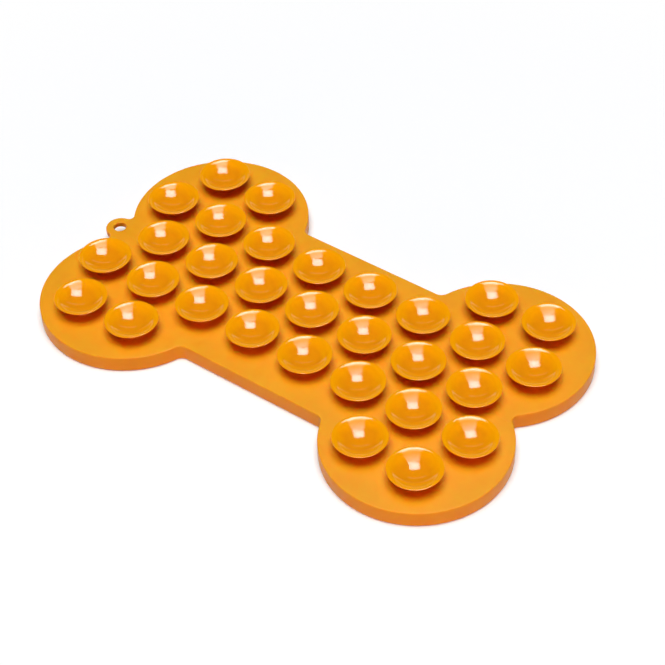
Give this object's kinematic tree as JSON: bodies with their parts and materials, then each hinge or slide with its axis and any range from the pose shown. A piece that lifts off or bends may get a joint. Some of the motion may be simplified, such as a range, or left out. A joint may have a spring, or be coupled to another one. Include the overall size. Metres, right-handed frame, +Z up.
{
  "type": "lick mat",
  "caption": "Bone-shaped silicone lick mat: a shallow tray with a textured lick face, a hanging eye, and a back covered in suction cups that squash flat.",
  "frame": {"origin": "middle of the mat's plan, on the surface that the lick side lies on", "axes": "+X along the bone away from the hanging eye, +Y across it, +Z up through the suction cups"},
  "size_m": [0.21, 0.1304, 0.0132],
  "materials": {
    "silicone_mat": "satin",
    "silicone_cup": "gloss"
  },
  "bodies": {
    "mat": {"back_sheet": "silicone_mat", "hanging_eye": "silicone_mat", "edge_wall": "silicone_mat", "lick_bars": "silicone_mat", "lick_nubs_eye_end": "silicone_mat", "lick_nubs_plain_end": "silicone_mat"},
    "cup_01": {"suction_cup_01": "silicone_cup"},
    "cup_02": {"suction_cup_02": "silicone_cup"},
    "cup_03": {"suction_cup_03": "silicone_cup"},
    "cup_04": {"suction_cup_04": "silicone_cup"},
    "cup_05": {"suction_cup_05": "silicone_cup"},
    "cup_06": {"suction_cup_06": "silicone_cup"},
    "cup_07": {"suction_cup_07": "silicone_cup"},
    "cup_08": {"suction_cup_08": "silicone_cup"},
    "cup_09": {"suction_cup_09": "silicone_cup"},
    "cup_10": {"suction_cup_10": "silicone_cup"},
    "cup_11": {"suction_cup_11": "silicone_cup"},
    "cup_12": {"suction_cup_12": "silicone_cup"},
    "cup_13": {"suction_cup_13": "silicone_cup"},
    "cup_14": {"suction_cup_14": "silicone_cup"},
    "cup_15": {"suction_cup_15": "silicone_cup"},
    "cup_16": {"suction_cup_16": "silicone_cup"},
    "cup_17": {"suction_cup_17": "silicone_cup"},
    "cup_18": {"suction_cup_18": "silicone_cup"},
    "cup_19": {"suction_cup_19": "silicone_cup"},
    "cup_20": {"suction_cup_20": "silicone_cup"},
    "cup_21": {"suction_cup_21": "silicone_cup"},
    "cup_22": {"suction_cup_22": "silicone_cup"},
    "cup_23": {"suction_cup_23": "silicone_cup"},
    "cup_24": {"suction_cup_24": "silicone_cup"},
    "cup_25": {"suction_cup_25": "silicone_cup"},
    "cup_26": {"suction_cup_26": "silicone_cup"},
    "cup_27": {"suction_cup_27": "silicone_cup"},
    "cup_28": {"suction_cup_28": "silicone_cup"},
    "cup_29": {"suction_cup_29": "silicone_cup"},
    "cup_30": {"suction_cup_30": "silicone_cup"},
    "cup_31": {"suction_cup_31": "silicone_cup"}
  },
  "joints": [
    {"name": "cup_01_press", "type": "slide", "parent": "mat", "child": "cup_01", "axis": [0, 0, -1], "range_m": [0, 0.003], "stiffness_N_per_m": 1200, "deforming": ["suction_cup_01"]},
    {"name": "cup_02_press", "type": "slide", "parent": "mat", "child": "cup_02", "axis": [0, 0, -1], "range_m": [0, 0.003], "stiffness_N_per_m": 1200, "deforming": ["suction_cup_02"]},
    {"name": "cup_03_press", "type": "slide", "parent": "mat", "child": "cup_03", "axis": [0, 0, -1], "range_m": [0, 0.003], "stiffness_N_per_m": 1200, "deforming": ["suction_cup_03"]},
    {"name": "cup_04_press", "type": "slide", "parent": "mat", "child": "cup_04", "axis": [0, 0, -1], "range_m": [0, 0.003], "stiffness_N_per_m": 1200, "deforming": ["suction_cup_04"]},
    {"name": "cup_05_press", "type": "slide", "parent": "mat", "child": "cup_05", "axis": [0, 0, -1], "range_m": [0, 0.003], "stiffness_N_per_m": 1200, "deforming": ["suction_cup_05"]},
    {"name": "cup_06_press", "type": "slide", "parent": "mat", "child": "cup_06", "axis": [0, 0, -1], "range_m": [0, 0.003], "stiffness_N_per_m": 1200, "deforming": ["suction_cup_06"]},
    {"name": "cup_07_press", "type": "slide", "parent": "mat", "child": "cup_07", "axis": [0, 0, -1], "range_m": [0, 0.003], "stiffness_N_per_m": 1200, "deforming": ["suction_cup_07"]},
    {"name": "cup_08_press", "type": "slide", "parent": "mat", "child": "cup_08", "axis": [0, 0, -1], "range_m": [0, 0.003], "stiffness_N_per_m": 1200, "deforming": ["suction_cup_08"]},
    {"name": "cup_09_press", "type": "slide", "parent": "mat", "child": "cup_09", "axis": [0, 0, -1], "range_m": [0, 0.003], "stiffness_N_per_m": 1200, "deforming": ["suction_cup_09"]},
    {"name": "cup_10_press", "type": "slide", "parent": "mat", "child": "cup_10", "axis": [0, 0, -1], "range_m": [0, 0.003], "stiffness_N_per_m": 1200, "deforming": ["suction_cup_10"]},
    {"name": "cup_11_press", "type": "slide", "parent": "mat", "child": "cup_11", "axis": [0, 0, -1], "range_m": [0, 0.003], "stiffness_N_per_m": 1200, "deforming": ["suction_cup_11"]},
    {"name": "cup_12_press", "type": "slide", "parent": "mat", "child": "cup_12", "axis": [0, 0, -1], "range_m": [0, 0.003], "stiffness_N_per_m": 1200, "deforming": ["suction_cup_12"]},
    {"name": "cup_13_press", "type": "slide", "parent": "mat", "child": "cup_13", "axis": [0, 0, -1], "range_m": [0, 0.003], "stiffness_N_per_m": 1200, "deforming": ["suction_cup_13"]},
    {"name": "cup_14_press", "type": "slide", "parent": "mat", "child": "cup_14", "axis": [0, 0, -1], "range_m": [0, 0.003], "stiffness_N_per_m": 1200, "deforming": ["suction_cup_14"]},
    {"name": "cup_15_press", "type": "slide", "parent": "mat", "child": "cup_15", "axis": [0, 0, -1], "range_m": [0, 0.003], "stiffness_N_per_m": 1200, "deforming": ["suction_cup_15"]},
    {"name": "cup_16_press", "type": "slide", "parent": "mat", "child": "cup_16", "axis": [0, 0, -1], "range_m": [0, 0.003], "stiffness_N_per_m": 1200, "deforming": ["suction_cup_16"]},
    {"name": "cup_17_press", "type": "slide", "parent": "mat", "child": "cup_17", "axis": [0, 0, -1], "range_m": [0, 0.003], "stiffness_N_per_m": 1200, "deforming": ["suction_cup_17"]},
    {"name": "cup_18_press", "type": "slide", "parent": "mat", "child": "cup_18", "axis": [0, 0, -1], "range_m": [0, 0.003], "stiffness_N_per_m": 1200, "deforming": ["suction_cup_18"]},
    {"name": "cup_19_press", "type": "slide", "parent": "mat", "child": "cup_19", "axis": [0, 0, -1], "range_m": [0, 0.003], "stiffness_N_per_m": 1200, "deforming": ["suction_cup_19"]},
    {"name": "cup_20_press", "type": "slide", "parent": "mat", "child": "cup_20", "axis": [0, 0, -1], "range_m": [0, 0.003], "stiffness_N_per_m": 1200, "deforming": ["suction_cup_20"]},
    {"name": "cup_21_press", "type": "slide", "parent": "mat", "child": "cup_21", "axis": [0, 0, -1], "range_m": [0, 0.003], "stiffness_N_per_m": 1200, "deforming": ["suction_cup_21"]},
    {"name": "cup_22_press", "type": "slide", "parent": "mat", "child": "cup_22", "axis": [0, 0, -1], "range_m": [0, 0.003], "stiffness_N_per_m": 1200, "deforming": ["suction_cup_22"]},
    {"name": "cup_23_press", "type": "slide", "parent": "mat", "child": "cup_23", "axis": [0, 0, -1], "range_m": [0, 0.003], "stiffness_N_per_m": 1200, "deforming": ["suction_cup_23"]},
    {"name": "cup_24_press", "type": "slide", "parent": "mat", "child": "cup_24", "axis": [0, 0, -1], "range_m": [0, 0.003], "stiffness_N_per_m": 1200, "deforming": ["suction_cup_24"]},
    {"name": "cup_25_press", "type": "slide", "parent": "mat", "child": "cup_25", "axis": [0, 0, -1], "range_m": [0, 0.003], "stiffness_N_per_m": 1200, "deforming": ["suction_cup_25"]},
    {"name": "cup_26_press", "type": "slide", "parent": "mat", "child": "cup_26", "axis": [0, 0, -1], "range_m": [0, 0.003], "stiffness_N_per_m": 1200, "deforming": ["suction_cup_26"]},
    {"name": "cup_27_press", "type": "slide", "parent": "mat", "child": "cup_27", "axis": [0, 0, -1], "range_m": [0, 0.003], "stiffness_N_per_m": 1200, "deforming": ["suction_cup_27"]},
    {"name": "cup_28_press", "type": "slide", "parent": "mat", "child": "cup_28", "axis": [0, 0, -1], "range_m": [0, 0.003], "stiffness_N_per_m": 1200, "deforming": ["suction_cup_28"]},
    {"name": "cup_29_press", "type": "slide", "parent": "mat", "child": "cup_29", "axis": [0, 0, -1], "range_m": [0, 0.003], "stiffness_N_per_m": 1200, "deforming": ["suction_cup_29"]},
    {"name": "cup_30_press", "type": "slide", "parent": "mat", "child": "cup_30", "axis": [0, 0, -1], "range_m": [0, 0.003], "stiffness_N_per_m": 1200, "deforming": ["suction_cup_30"]},
    {"name": "cup_31_press", "type": "slide", "parent": "mat", "child": "cup_31", "axis": [0, 0, -1], "range_m": [0, 0.003], "stiffness_N_per_m": 1200, "deforming": ["suction_cup_31"]}
  ]
}
